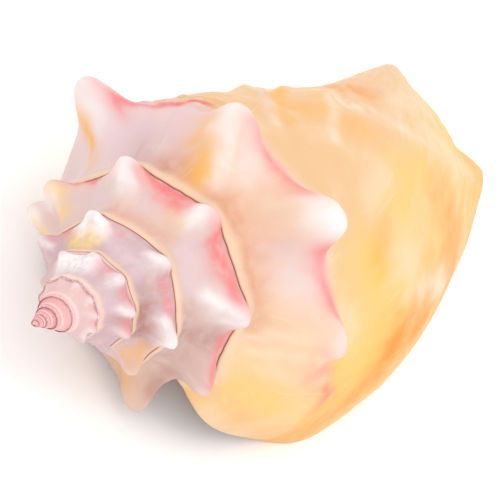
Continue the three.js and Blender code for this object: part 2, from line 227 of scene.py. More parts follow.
# The brush wobbles: how far, pace along the turn, pace across, seed
WOBBLE_ROUND = (0.004, 0.5, 6, 8)
WOBBLE_ACROSS = (0.008, 0.7, 3, 9)
ROSE_STROKES = [
    (3.2, 0.7, [(-0.212, 0.285), (-0.204, 0.268), (-0.197, 0.270)]),
    (2.6, 0.9, [(-0.197, 0.280), (-0.188, 0.305), (-0.176, 0.318), (-0.162, 0.340)]),
    (3.0, 1.0, [(-0.162, 0.345), (-0.150, 0.375), (-0.127, 0.400), (-0.113, 0.410)]),
    (3.6, 0.75, [(-0.057, 0.295), (-0.045, 0.305), (-0.032, 0.325), (-0.014, 0.315)]),
    (3.6, 0.8, [(-0.014, 0.315), (0.002, 0.305), (0.019, 0.297)]),
    (2.6, 0.7, [(0.058, 0.275), (0.068, 0.285)]),
    (4.2, 1.0, [(0.074, 0.290), (0.087, 0.298), (0.103, 0.312), (0.117, 0.320)]),
    (4.0, 0.95, [(0.117, 0.320), (0.127, 0.325), (0.137, 0.330)]),
    (3.0, 0.6, [(0.137, 0.330), (0.150, 0.325), (0.158, 0.310)]),
    (3.0, 0.4, [(0.158, 0.310), (0.160, 0.290), (0.158, 0.275)]),
    (6.0, 0.55, [(0.200, 0.345), (0.214, 0.376)]),
    (5.0, 0.7, [(0.222, 0.385), (0.234, 0.400)]),
    (4.5, 0.8, [(-1.132, 0.345), (-1.118, 0.335)]),
    (6.5, 0.95, [(-1.120, 0.325), (-1.100, 0.315), (-1.085, 0.310)]),
    (7.5, 1.0, [(-1.085, 0.315), (-1.060, 0.300), (-1.045, 0.300)]),
    (4.4, 1.0, [(-1.045, 0.300), (-1.025, 0.310), (-1.010, 0.310)]),
    (4.4, 0.95, [(-1.005, 0.305), (-0.990, 0.300), (-0.975, 0.290)]),
    (6.0, 0.9, [(-0.975, 0.290), (-0.955, 0.290), (-0.931, 0.292), (-0.912, 0.295)]),
    (5.0, 0.9, [(-0.912, 0.295), (-0.897, 0.295), (-0.880, 0.290)]),
    (3.4, 0.9, [(-1.262, 0.325), (-1.230, 0.328), (-1.205, 0.315)]),
    (2.6, 0.8, [(-0.838, 0.305), (-0.805, 0.305), (-0.781, 0.300), (-0.756, 0.290)]),
    (5.0, 0.4, [(-2.134, 0.300), (-2.109, 0.285), (-2.090, 0.275)]),
    (4.8, 0.55, [(-1.945, 0.280), (-1.909, 0.285), (-1.885, 0.295), (-1.860, 0.305)]),
    (4.5, 0.6, [(-2.290, 0.305), (-2.267, 0.310), (-2.238, 0.295)]),
    (7.0, 0.45, [(-3.090, 0.260), (-3.046, 0.275), (-3.014, 0.290)]),
    (5.5, 0.5, [(-2.972, 0.275), (-2.944, 0.280), (-2.917, 0.290), (-2.890, 0.300)]),
    (7.5, 0.55, [(-2.846, 0.290), (-2.822, 0.285), (-2.790, 0.280)]),
    (6.0, 0.5, [(-4.020, 0.330), (-3.950, 0.320), (-3.905, 0.310)]),
    (6.0, 0.5, [(-3.900, 0.300), (-3.850, 0.320), (-3.820, 0.320)]),
]
GOLD_STROKES = [
    (3.6, 0.9, [(-0.244, 0.300), (-0.238, 0.254), (-0.236, 0.214), (-0.236, 0.181)]),
    (5.0, 0.5, [(-0.236, 0.181), (-0.240, 0.140)]),
    (5.0, 0.45, [(-0.092, 0.250), (-0.090, 0.235)]),
    (7.5, 0.85, [(-0.086, 0.220), (-0.076, 0.195), (-0.071, 0.175)]),
    (8.5, 0.95, [(-0.072, 0.170), (-0.069, 0.150), (-0.063, 0.120)]),
    (6.5, 0.7, [(-0.062, 0.110), (-0.055, 0.080)]),
    (5.0, 0.75, [(-0.103, 0.690), (-0.078, 0.620), (-0.060, 0.560), (-0.050, 0.520)]),
    (5.0, 0.6, [(-0.045, 0.690), (-0.025, 0.640)]),
    (8.0, 0.6, [(-1.700, 0.200), (-1.720, 0.240), (-1.745, 0.260)]),
    (9.0, 0.55, [(-0.610, 0.200), (-0.625, 0.240)]),
    (9.0, 0.5, [(-0.060, 0.580), (-0.040, 0.590)]),
    (9.0, 0.4, [(0.010, 0.655), (0.024, 0.666)]),
]
LEMON_STROKES = [
    (8.5, 0.95, [(-2.225, 0.180), (-2.180, 0.175), (-2.140, 0.150)]),
    (5.0, 0.9, [(-2.200, 0.110), (-2.150, 0.095)]),
    (6.5, 0.8, [(-1.272, 0.260), (-1.274, 0.220), (-1.276, 0.184)]),
    (5.0, 0.8, [(-1.336, 0.235), (-1.340, 0.180)]),
    (6.0, 0.4, [(-1.050, 0.220), (-1.030, 0.200)]),
]
PALE_STROKES = [
    (4.0, 1.0, [(0.032, 0.275), (0.040, 0.280), (0.049, 0.282)]),
    (5.0, 0.6, [(0.040, 0.262), (0.047, 0.268)]),
    (2.8, 0.35, [(-0.116, 0.665), (-0.090, 0.595), (-0.068, 0.530), (-0.050, 0.480)]),
    (4.6, 0.8, [(-0.078, 0.290), (-0.078, 0.255), (-0.068, 0.230)]),
    (4.2, 0.75, [(-0.066, 0.225), (-0.059, 0.200), (-0.050, 0.170), (-0.046, 0.140)]),
    (6.0, 0.45, [(-0.048, 0.250), (-0.030, 0.235)]),
    (4.4, 0.6, [(-0.228, 0.285), (-0.221, 0.255), (-0.216, 0.225)]),
    (2.2, 0.3, [(0.137, 0.298), (0.149, 0.290), (0.156, 0.280)]),
    (9.0, 0.3, [(0.095, 0.265), (0.112, 0.235)]),
    (6.0, 0.9, [(-1.150, 0.300), (-1.146, 0.265), (-1.142, 0.235)]),
    (5.5, 0.9, [(-1.022, 0.275), (-1.018, 0.245)]),
    (6.0, 0.9, [(-0.866, 0.260), (-0.876, 0.225), (-0.890, 0.195)]),
    (4.5, 0.6, [(-1.296, 0.285), (-1.284, 0.240)]),
    (4.5, 0.6, [(-1.335, 0.290), (-1.330, 0.260)]),
    (9.0, 1.0, [(-2.190, 0.272), (-2.160, 0.268), (-2.135, 0.250)]),
    (5.5, 0.9, [(-2.000, 0.262), (-1.984, 0.255)]),
    (6.0, 0.85, [(-1.846, 0.245), (-1.822, 0.265), (-1.805, 0.275)]),
    (4.0, 0.7, [(-2.310, 0.270), (-2.300, 0.240)]),
    (10.0, 0.6, [(-3.210, 0.130), (-3.150, 0.130)]),
    (15.0, 1.0, [(-3.225, 0.220), (-3.170, 0.215), (-3.110, 0.230)]),
    (6.5, 0.8, [(-3.005, 0.240), (-2.985, 0.245)]),
    (6.5, 0.8, [(-2.890, 0.225), (-2.878, 0.250)]),
    (6.5, 0.55, [(-2.806, 0.230), (-2.795, 0.255)]),
    (6.0, 0.5, [(-4.070, 0.240), (-4.062, 0.270)]),
    (6.0, 0.5, [(-3.964, 0.240), (-3.960, 0.270)]),
    (6.0, 0.5, [(-3.878, 0.240), (-3.872, 0.270)]),
    (6.0, 0.5, [(-3.790, 0.240), (-3.720, 0.260)]),
]
LILAC_STROKES = [
    (12.0, 0.65, [(-0.196, 0.210), (-0.176, 0.215), (-0.150, 0.220)]),
    (9.0, 0.45, [(-0.150, 0.150), (-0.120, 0.120)]),
    (11.0, 0.6, [(0.067, 0.180), (0.080, 0.230), (0.100, 0.230)]),
    (8.0, 0.55, [(-1.193, 0.200), (-1.180, 0.160)]),
    (9.0, 0.5, [(-1.100, 0.180), (-1.074, 0.150)]),
    (9.0, 0.7, [(-0.977, 0.166), (-0.950, 0.130), (-0.925, 0.110)]),
    (9.0, 0.7, [(-2.090, 0.180), (-2.040, 0.150), (-1.990, 0.150)]),
    (9.0, 0.5, [(-3.000, 0.120), (-2.900, 0.110)]),
]
# Painted shade: darker mauve-brown strokes on the ramps between knobs, where these lie in shade
RAMP_SHADE_STROKES = [
    (11.0, 0.3, [(-1.926, 0.130), (-1.890, 0.095)]),
    (12.0, 0.75, [(-1.880, 0.080), (-1.840, 0.080), (-1.790, 0.110)]),
    (9.0, 0.3, [(-1.790, 0.150), (-1.765, 0.200)]),
    (9.0, 0.4, [(-0.870, 0.050), (-0.830, 0.060)]),
    (11.0, 0.5, [(-0.812, 0.100), (-0.800, 0.180), (-0.812, 0.240)]),
    (11.0, 0.35, [(-0.780, 0.150), (-0.740, 0.140)]),
    (9.0, 0.3, [(-2.838, 0.200), (-2.825, 0.250)]),
    (10.0, 0.5, [(-0.700, 0.260), (-0.660, 0.300)]),
    (9.0, 0.25, [(-0.160, 0.130), (-0.120, 0.090), (-0.080, 0.060)]),
]
ORANGE_STROKES = [
    (11.0, 0.45, [(0.155, 0.755), (0.190, 0.770)]),
    (11.0, 0.9, [(0.196, 0.775), (0.222, 0.780), (0.240, 0.770)]),
    (9.0, 0.65, [(0.205, 0.737), (0.225, 0.735)]),
    (10.0, 1.0, [(0.205, 0.660), (0.218, 0.655), (0.215, 0.610)]),
    (9.0, 1.0, [(0.212, 0.590), (0.220, 0.560), (0.232, 0.545)]),
    (7.0, 0.8, [(0.232, 0.540), (0.245, 0.522), (0.255, 0.510)]),
    (7.0, 0.5, [(0.190, 0.560), (0.205, 0.540)]),
    (10.0, 0.85, [(-0.040, 0.818), (-0.003, 0.824), (0.008, 0.826)]),
    (7.0, 0.6, [(0.013, 0.829), (0.035, 0.834)]),
    (13.0, 0.5, [(-0.160, 0.790), (-0.090, 0.810), (-0.040, 0.818)]),
    (14.0, 0.3, [(-0.330, 0.640), (-0.280, 0.720), (-0.160, 0.790)]),
    (12.0, 0.3, [(-0.400, 0.440), (-0.370, 0.540), (-0.340, 0.620)]),
    (9.0, 0.55, [(0.283, 0.400), (0.280, 0.440), (0.268, 0.465)]),
    (8.0, 0.4, [(0.290, 0.340), (0.285, 0.260)]),
    (8.0, 0.35, [(0.105, 0.560), (0.120, 0.520)]),
]
CREAM_STROKES = [
    (3.4, 0.5, [(0.033, 0.761), (0.072, 0.770), (0.116, 0.797), (0.175, 0.858), (0.268, 0.967)]),
    (8.0, 0.5, [(0.120, 0.840), (0.170, 0.860)]),
    (7.0, 0.45, [(0.068, 0.630), (0.073, 0.590), (0.076, 0.550)]),
    (10.0, 0.5, [(0.135, 0.590), (0.155, 0.610)]),
    (9.0, 0.5, [(0.060, 0.850), (0.130, 0.930)]),
    (2.4, 0.8, [(-0.034, 0.700), (-0.011, 0.635), (0.006, 0.590), (0.008, 0.570)]),
    (2.4, 0.7, [(-0.030, 0.730), (-0.007, 0.710), (0.012, 0.738)]),
    (4.0, 0.85, [(0.188, 0.640), (0.196, 0.675), (0.208, 0.700), (0.225, 0.735)]),
    (2.2, 0.55, [(0.187, 0.040), (0.178, 0.120), (0.165, 0.200), (0.155, 0.240)]),
    (2.0, 0.45, [(0.202, 0.110), (0.194, 0.180), (0.186, 0.250)]),
    (2.0, 0.35, [(0.218, 0.150), (0.210, 0.220), (0.205, 0.290)]),
    (7.0, 0.5, [(0.020, 0.220), (0.024, 0.260)]),
    (7.0, 0.4, [(0.140, 0.400), (0.170, 0.430)]),
    (8.0, 0.6, [(0.300, 0.200), (0.302, 0.300)]),
    (9.0, 0.4, [(-0.310, 0.440), (-0.290, 0.540), (-0.265, 0.640)]),
    (9.0, 0.4, [(-0.570, 0.430), (-0.550, 0.560), (-0.530, 0.700)]),
]
YELLOW_STROKES = [
    (10.0, 0.7, [(0.088, 0.672), (0.110, 0.700), (0.112, 0.738)]),
    (11.0, 0.8, [(0.105, 0.640), (0.112, 0.590)]),
    (9.0, 0.9, [(0.118, 0.490), (0.128, 0.520), (0.140, 0.500)]),
    (9.0, 0.6, [(0.180, 0.560), (0.200, 0.520), (0.215, 0.480)]),
    (9.0, 0.6, [(0.182, 0.450), (0.200, 0.430)]),
    (9.0, 0.5, [(0.245, 0.150), (0.240, 0.230), (0.245, 0.300)]),
    (15.0, 0.45, [(-0.260, 0.480), (-0.235, 0.580), (-0.215, 0.680)]),
    (13.0, 0.35, [(-0.500, 0.420), (-0.470, 0.520), (-0.450, 0.640)]),
]
PEACH_STROKES = [
    (7.0, 0.7, [(-0.110, 0.090), (-0.060, 0.070), (-0.020, 0.080)]),
    (7.0, 0.8, [(-0.012, 0.090), (0.028, 0.070), (0.064, 0.060), (0.100, 0.065)]),
    (8.0, 0.6, [(0.102, 0.060), (0.134, 0.070), (0.170, 0.060)]),
    (9.0, 0.5, [(0.010, 0.150), (0.035, 0.170)]),
    (7.0, 0.5, [(-1.140, 0.080), (-1.060, 0.080), (-1.020, 0.100)]),
]

STROKES = {
    "rose": ROSE_STROKES, "gold": GOLD_STROKES, "pale": PALE_STROKES, "lilac": LILAC_STROKES,
    "lemon": LEMON_STROKES, "ramp_shade": RAMP_SHADE_STROKES, "orange": ORANGE_STROKES,
    "cream": CREAM_STROKES, "yellow": YELLOW_STROKES, "peach": PEACH_STROKES,
}

# Colours as they look on a screen: red, green, blue from 0 to 255
ROSE = (246, 124, 126)
GOLD = (250, 182, 76)
PALE = (255, 250, 249)
LEMON = (253, 213, 126)
LILAC = (232, 206, 212)
# Painted shade for the ramps between knobs
PAINTED_RAMP_SHADE = (172, 106, 90)
ORANGE = (244, 154, 2)
CREAM = (252, 230, 200)
YELLOW = (250, 208, 104)
PEACH = (230, 160, 122)
FRILL = (252, 226, 220)
BAND = (248, 214, 182)
# Painted shade: a thin dark red line in the groove of each seam
PAINTED_SEAM_SHADE = (168, 50, 38)
# Pale edge at the early seams: partly the shell's own pale line, partly painted light that lifts
# the shaded groove; it is not dimmed by the shell's tone
PALE_EDGE_AND_LIGHT = (252, 212, 208)
STREAK = (254, 238, 220)
INSIDE_PINK = (236, 144, 134)
INSIDE_PEACH = (246, 194, 158)
FLOOR = (252, 252, 252)
# The sloping top of the early coils, by turn
EARLY_TOP_COLOURS = [
    (-8.5, (240, 150, 158)), (-6.2, (242, 160, 166)), (-5.0, (248, 182, 184)),
    (-4.35, (242, 200, 196)), (-3.9, (236, 196, 194)), (-3.1, (216, 182, 186)),
    (-2.2, (212, 178, 184)), (-1.5, (226, 196, 194)), (-1.1, (236, 206, 198)),
    (-0.85, (230, 200, 194)), (-0.62, (224, 190, 176)),
]
# The sloping top of the last coil
LAST_TOP_COLOURS = [
    (-0.70, (224, 190, 176)), (-0.25, (238, 212, 210)), (-0.12, (240, 206, 200)),
    (-0.06, (246, 208, 190)), (0.02, (250, 212, 186)), (0.10, (250, 212, 184)),
    (0.18, (250, 214, 178)), (0.24, (250, 208, 150)), (0.305, (248, 196, 126)),
]
# The wall below the shoulder
WALL_COLOURS = [
    (-0.7, (214, 182, 158)), (-0.3, (236, 194, 158)), (-0.12, (243, 196, 138)),
    (-0.03, (244, 196, 143)), (0.05, (244, 199, 147)), (0.12, (245, 204, 140)),
    (0.18, (247, 206, 124)), (0.24, (247, 196, 102)), (0.305, (247, 194, 112)),
]
SHELL_TONE = 0.80

# The strokes' colours, from the lowest layer to the highest
STROKE_LAYERS = [
    ("lilac", LILAC), ("peach", PEACH), ("yellow", YELLOW), ("ramp_shade", PAINTED_RAMP_SHADE),
    ("orange", ORANGE), ("gold", GOLD), ("lemon", LEMON), ("cream", CREAM), ("rose", ROSE),
    ("pale", PALE),
]

# How a layer comes in: it starts at the first value and is full at the second, and where two
# more numbers follow, they are its shares there
TOP_CHANGES = (-0.70, -0.62)
TOP_ENDS = (0.37, 0.43)
CLOUDS_COME = (0.50, 0.78, 0.0, 0.35)
STROKES_PATCHY = (0.25, 0.62, 0.55, 1.0)
KNOB_TIPS_COME = (0.60, 1.10, 0.0, 0.25)
FRILLS_COME = (0.35, 0.95, 0.0, 0.75)
FINE_LINES_COME = (0.50, 0.80, 0.0, 0.16)
BROAD_LINES_COME = (0.50, 0.75)
BROAD_LINES_BY_TURN = (-3.3, -2.7, 0.5, 0.14)
BAND_ENDS = (0.050, 0.105, 1.0, 0.0)
BAND_BY_TURN = (-4.0, -2.2, 0.15, 0.8)
# Where the pale edge, partly painted light, lies on both sides of each seam, and the turns over
# which it fades out
EDGE_ABOVE_SEAM = (0.300, 0.335)
EDGE_BELOW_SEAM = (0.006, 0.045, 1.0, 0.0)
EDGE_BY_TURN = (-3.2, -2.5, 0.55, 0.0)
# The painted seam shade: how far it reaches from the seam, and the turns over which it comes in
SEAM_SHADE_ENDS = (0.0010, 0.0070, 1.0, 0.0)
SEAM_SHADE_BY_TURN = (-3.2, -1.7, 0.0, 0.95)
LINES_FADE = (0.35, 0.65)
ROOM_BY_TURN = (-0.1, 0.30)
ROOM_BEGINS = (0.35, 0.85)
ROUGHNESS_RANGE = (0.3, 0.7, 0.36, 0.50)
ROOM_SMOOTHER_BY = 0.16
SOFT_DEPTH_BY_TURN = (-3.2, -1.2, 0.0, 0.12)
BUMP_IN_ROOM = (0.2, 0.8, 1.0, 0.2)

# Noise: pace along the turn, pace across, shift, detail
EDGE_NOISE = (14, 9, 2.0, 3.0)
CLOUD_NOISE = (16, 8, 5.0, 3.0)
PATCH_NOISE = (40, 16, 9.0, 3.0)
BAND_NOISE = (30, 4, 7.0, 3.0)
ROUGH_NOISE = (60, 40, 6.0, 3.0)
WEAVE_NOISE = (60, 90, 4.0, 3.0)
BEND_NOISE = (5, 5, 11.0, 1.0)
FADE_NOISE = (20, 9, 13.0, 2.0)
TOP_RAGGED = 0.05
BAND_RAGGED = 0.05
LINE_BEND = 0.03
LINE_DETAIL = 2.0

# Growth lines in a turn, and the surface's feel: sizes in metres
FINE_LINES = 150
BROAD_LINES = 34
LINE_BUMP = 0.7
WEAVE_BUMP = 0.3
BUMP_STRENGTH = 0.35
BUMP_METRES = 0.0007
SHINE = 0.35
SOFT_COLOUR_REACH = (1.0, 0.55, 0.35)
SOFT_METRES = 0.004

# Floor and light, in metres and watts
FLOOR_HALF_SIZE = 3.0
FLOOR_ROUGHNESS = 0.95
WORLD_STRENGTH = 1.15
LAMP_AIM = (0, 0, 0.05)
LAMPS = [
    ("key", (0.35, 0.3, 1.7), 1.2, 5),
    ("fill", (0.5, -1.4, 0.9), 1.5, 4),
]


def smooth(x):
    u = np.clip(x, 0, 1)
    return u * u * (3 - 2 * u)


def monotone(x, xs, ys):
    """A smooth line through points that never overshoots between them; ys may have columns."""
    xs = np.asarray(xs, float)
    ys = np.asarray(ys, float)
    tail = (1,) * (ys.ndim - 1)
    step = np.diff(xs)
    slope = np.diff(ys, axis=0) / step.reshape((-1,) + tail)
    tangent = np.zeros_like(ys)
    w1 = (2 * step[1:] + step[:-1]).reshape((-1,) + tail)
    w2 = (step[1:] + 2 * step[:-1]).reshape((-1,) + tail)
    same = slope[1:] * slope[:-1] > 0
    with np.errstate(divide="ignore", invalid="ignore"):
        mean = (w1 + w2) / (w1 / slope[:-1] + w2 / slope[1:])
    tangent[1:-1] = np.where(same, mean, 0)
    tangent[0] = slope[0]
    tangent[-1] = slope[-1]
    x = np.clip(x, xs[0], xs[-1])
    i = np.clip(np.searchsorted(xs, x, side="right") - 1, 0, len(xs) - 2)
    u = ((x - xs[i]) / step[i]).reshape(x.shape + tail)
    h = step[i].reshape(x.shape + tail)
    return hermite(u, h, ys[i], ys[i + 1], tangent[i], tangent[i + 1])


def hermite(u, step, start, end, start_slope, end_slope):
    v = 1 - u
    return (start * (1 + 2 * u) * v * v + start_slope * step * u * v * v
            + end * u * u * (3 - 2 * u) + end_slope * step * u * u * (u - 1))


def section_points(turn):
    """The drawn points of the section at each turn: shape (n, 10, 2)."""
    size = (GROWTH_PER_TURN ** turn)[:, None]
    lift = monotone(turn, TIP_LIFT_TURNS, TIP_LIFT)[:, None]
    lift_above = monotone(turn - 1, TIP_LIFT_TURNS, TIP_LIFT)[:, None]
    ring = RAMP[None] * size[..., None]
    ring[:, :, 1] += lift * LIFT_SHARE + lift_above * (1 - LIFT_SHARE)
    flare = smooth((turn - LIP_RAMP_FROM_TURN) / (LIP_TURN - LIP_RAMP_FROM_TURN))[:, None, None]
    ring[:, 1:5] = ring[:, 1:5] * (1 - flare) + LIP_RAMP[None] * flare
    wall = monotone(turn, WALL_TURNS, WALL)
    return np.concatenate([ring, wall], axis=1)


def section_point(points, across):
    """Distance from the axis and height on the smooth section, for one across each."""
    slope = np.gradient(points, ACROSS, axis=1)
    i = np.clip(np.searchsorted(ACROSS, across, side="right") - 1, 0, len(ACROSS) - 2)
    step = (ACROSS[i + 1] - ACROSS[i])[:, None]
    u = (across - ACROSS[i])[:, None] / step
    row = np.arange(len(across))
    return hermite(u, step, points[row, i], points[row, i + 1], slope[row, i], slope[row, i + 1])


def knob_height(turn):
    total = np.zeros_like(turn)
    for at, share in KNOBS:
        degrees = np.minimum(np.abs(turn - at) * 360, KNOB_REACH_DEGREES)
        top = np.exp(-(degrees / KNOB_TOP_DEGREES) ** KNOB_BLUNTNESS)
        foot = np.exp(-(degrees / KNOB_FOOT_DEGREES) ** 2)
        total += (share * (KNOB_TOP_SHARE * top + (1 - KNOB_TOP_SHARE) * foot)) ** KNOB_JOIN
    return total ** (1 / KNOB_JOIN)


def wall_relief(turn, across):
    """Ridges and swellings, as in the solid."""
    out = np.zeros_like(turn)
    for start, drift, height, half, first, last in RIDGES:
        ends = smooth((turn - first) / RIDGE_FADE_TURNS) * smooth((last - turn) / RIDGE_FADE_TURNS)
        out += height * ends * np.exp(-((across - start - drift * turn) / half) ** 2)
    for at, middle, height, degrees, half in SWELLINGS:
        round_ = ((turn - at) * 360 / degrees) ** 2 + ((across - middle) / half) ** 2
        out += height * np.exp(-round_)
    return out


def ripple(turn, across, seed):
    """A smooth uneven wave, mostly between -1 and 1, quick along the turn and slow across."""
    rng = np.random.default_rng(seed)
    out = np.zeros_like(turn)
    for _ in range(RIPPLE_WAVES):
        pace = rng.uniform(*RIPPLE_PACES)
        drift = rng.uniform(-RIPPLE_DRIFT, RIPPLE_DRIFT)
        start = rng.uniform(*RIPPLE_STARTS)
        out += np.sin(2 * np.pi * (pace * turn + drift * across) + start)
    return out / RIPPLE_SHARE


def rib_relief(turn, across):
    """Thin ribs along old lips, each a line from one (turn, across) to another."""
    out = np.zeros_like(turn)
    for turn_a, across_a, turn_b, across_b, height, degrees in RIBS:
        share = (across - across_a) / (across_b - across_a)
        line = turn_a + (turn_b - turn_a) * share
        ends = smooth(share / RIB_END_SHARE) * smooth((1 - share) / RIB_END_SHARE)
        out += height * ends * np.exp(-((turn - line) * 360 / degrees) ** 2)
    return out


def frill_share(turn, across):
    """Crumpled growth frills under the shoulder between the first two big knobs, from 0 to 1."""
    first, last = FRILL_TURNS
    ends = smooth((turn - first) / FRILL_FADES[0]) * smooth((last - turn) / FRILL_FADES[1])
    out = np.zeros_like(turn)
    for k, (middle, waves, fine_waves) in enumerate(FRILL_ROWS):
        wobble = FRILL_WOBBLE * np.sin(2 * np.pi * (waves * turn + FRILL_ROW_SHIFT * k))
        uneven = 1 - FRILL_UNEVEN + FRILL_UNEVEN * np.sin(2 * np.pi * fine_waves * turn + k)
        out += uneven * np.exp(-((across - middle - wobble) / FRILL_HALF_ACROSS) ** 2)
    return ends * out


def margin_relief(turn, across):
    """The lip's edge drawn in a little, in uneven waves."""
    near = smooth((turn - MARGIN_FROM_TURN) / (LIP_TURN - MARGIN_FROM_TURN))
    first, last = MARGIN_ACROSS
    span = smooth((across - first) / MARGIN_FADES[0]) * smooth((last - across) / MARGIN_FADES[1])
    wave = MARGIN_MIDDLE
    for count, share, start in MARGIN_WAVES:
        wave = wave + share * np.sin(2 * np.pi * count * across + start)
    return -MARGIN_DEPTH * near * span * wave


def fine_relief(turn, across):
    """Relief along the surface's normal: the seam's band, ripples, ribs, frills and the lip."""
    size = GROWTH_PER_TURN ** turn
    band = (BAND_HEIGHT * smooth(across / BAND_RISES_OVER)
            * (1 - smooth((across - BAND_FALLS_FROM) / BAND_FALLS_OVER)))
    calm = smooth((across - CALM_BELOW) / CALM_FADE)
    growth = RIPPLE_HEIGHT * ripple(turn, across, RIPPLE_SEED) * calm
    out = size * band * smooth((turn - BAND_FROM_TURN) / BAND_FADE_TURNS) + size * growth
    frills = FRILL_HEIGHT * frill_share(turn, across)
    return out + rib_relief(turn, across) + frills + margin_relief(turn, across)


def outside_section(turn, across):
    """Distance from the axis and height of the outside, with knobs and ridges."""
    points = section_points(turn)
    out = section_point(points, across)
    knob = (knob_height(turn) * monotone(across, KNOB_ACROSS, KNOB_SHARE)
            * GROWTH_PER_TURN ** turn)
    out[:, 0] += KNOB_OUT * knob + wall_relief(turn, across)
    out[:, 1] -= KNOB_TOWARD_TIP * knob
    out += section_normal(points, across) * fine_relief(turn, across)[:, None]
    return out


def section_normal(points, across):
    """The unit vector that points out of the smooth section."""
    before = section_point(points, np.clip(across - NORMAL_STEP, 0, 1))
    after = section_point(points, np.clip(across + NORMAL_STEP, 0, 1))
    along = after - before
    length = np.linalg.norm(along, axis=1, keepdims=True)
    return np.stack([along[:, 1], -along[:, 0]], axis=1) / length


def seated_section(turn, across):
    """The outside with its top edge carried onto the coil above."""
    out = outside_section(turn, across)
    above = outside_section(turn - 1, np.full_like(turn, SEAM))
    edge = section_point(section_points(turn), np.zeros_like(turn))
    hold = (np.maximum(1 - across / SEAT_ACROSS, 0) ** SEAT_SOFTNESS)[:, None]
    return out + (above - edge) * hold


def placed(section, turn, across):
    """Points round the shell's axis from sections."""
    lean = (np.radians(monotone(across, LEAN_ACROSS, LEAN_DEGREES))
            * smooth((turn - LEAN_FROM_TURN) / LEAN_FULL_AFTER_TURNS))
    angle = 2 * np.pi * turn + lean
    return np.stack([section[:, 0] * np.cos(angle), section[:, 0] * np.sin(angle),
                     section[:, 1]], axis=1)


def outside_point(turn, across):
    return placed(seated_section(turn, across), turn, across)


def inside_point(turn, across):
    """The room's wall: the outside moved in by the wall's thickness, without knobs."""
    points = section_points(turn)
    out = section_point(points, across)
    near_lip = smooth((turn - THINS_FROM_TURN) / (LIP_TURN - THINS_FROM_TURN))
    out[:, 0] += wall_relief(turn, across) * near_lip
    thickness = WALL_THICKNESS + (LIP_THICKNESS - WALL_THICKNESS) * near_lip
    thickness -= margin_relief(turn, across)
    out -= section_normal(points, across) * thickness[:, None]
    return placed(out, turn, across)


def rows_between(start, end, count):
    return [start + (end - start) * (k + 1) / count for k in range(count)]


# Rows across a coil, coarse and fine, then down the wall
ROWS_COARSE = [0] + rows_between(0, 0.24, 5) + rows_between(0.24, SEAM, 5)
ROWS_RING = ([0] + rows_between(0, 0.045, 5) + rows_between(0.045, 0.20, 9)
             + rows_between(0.20, SEAM, 15))
ROWS_WALL = (rows_between(SEAM, ROOM_CORNER, 4) + rows_between(ROOM_CORNER, 0.47, 14)
             + rows_between(0.47, 1.0, 36))
CORNER_ROWS = 4


class Sheet:
    """Collects points, faces and each point's turn, across and side."""

    def __init__(self):
        self.points = []
        self.turns = []
        self.across = []
        self.inside = []
        self.faces = []

    def add(self, points, turns, across, inside=0.0):
        first = len(self.points)
        self.points.extend(map(tuple, points))
        self.turns.extend(turns)
        self.across.extend(across)
        self.inside.extend([inside] * len(points))
        return list(range(first, first + len(points)))

    def face(self, *corners):
        kept = [c for i, c in enumerate(corners) if c != corners[i - 1]]
        if len(set(kept)) > 2:
            self.faces.append(kept)

    def strip(self, left, right):
        """Joins two columns with the same number of rows."""
        for i in range(len(left) - 1):
            self.face(left[i], right[i], right[i + 1], left[i + 1])

    def join(self, left, right):
        """Joins two columns of (across, point) that start and end level."""
        i = 0
        j = 0
        while i < len(left) - 1 or j < len(right) - 1:
            next_left = left[i + 1][0] if i < len(left) - 1 else math.inf
            next_right = right[j + 1][0] if j < len(right) - 1 else math.inf
            if next_left < next_right - TINY:
                self.face(left[i][1], right[j][1], left[i + 1][1])
                i += 1
            elif next_right < next_left - TINY:
                self.face(left[i][1], right[j][1], right[j + 1][1])
                j += 1
            else:
                self.face(left[i][1], right[j][1], right[j + 1][1], left[i + 1][1])
                i += 1
                j += 1


def draw_shell():
    sheet = Sheet()
    n = STEPS_PER_TURN
    last = COILS * n
    body = last - n
    room = int(ROOM_DEPTH_TURNS * n)
    turn_of = [LIP_TURN - (last - j) / n for j in range(last + 1)]
    fine_rows = ROWS_RING + ROWS_WALL
    seam_row = len(ROWS_RING) - 1
    corner_row = seam_row + CORNER_ROWS
    pole = sheet.add([(0, 0, TIP_HEIGHT)], [turn_of[0]], [0.0])[0]

    rings = []
    walls = {}
    for j, turn in enumerate(turn_of):
        rows = ROWS_COARSE if turn < FINE_FROM_TURN else ROWS_RING
        if j < n:
            start = pole
        else:
            above = sheet.points[rings[j - n][-1][1]]
            start = sheet.add([above], [turn], [0.0])[0]
        rest = np.array(rows[1:])
        turns = np.full(len(rest), turn)
        ids = sheet.add(outside_point(turns, rest), turns, rest)
        rings.append([(0.0, start)] + list(zip(rows[1:], ids)))
        if j >= body - room:
            first = seam_row if j >= body else corner_row - 1
            rest = np.array(fine_rows[first + 1:])
            turns = np.full(len(rest), turn)
            side = 0.0 if j >= body else 1.0
            walls[j] = sheet.add(outside_point(turns, rest), turns, rest, side)

    for j in range(last):
        sheet.join(rings[j], rings[j + 1])
        if j >= body:
            sheet.strip([rings[j][-1][1]] + walls[j], [rings[j + 1][-1][1]] + walls[j + 1])
        elif j >= body - room:
            right = walls[j + 1] if j + 1 < body else walls[body][CORNER_ROWS - 1:]
            sheet.strip(walls[j], right)
    start = rings[0]
    for i in range(1, len(start) - 1):
        sheet.face(pole, start[i][1], start[i + 1][1])

    lining = draw_lining(sheet, turn_of, walls, fine_rows, last, n, room)
    lip_corner = draw_lip(sheet, rings, walls, lining, last, n)
    draw_front_end(sheet, walls, lining, lip_corner, turn_of, last, n, room)
    return sheet


def corner_of(walls, body, j):
    """The room's corner beside the seam, on the coil inside column j."""
    return walls[j][0] if j < body else walls[j][CORNER_ROWS - 1]


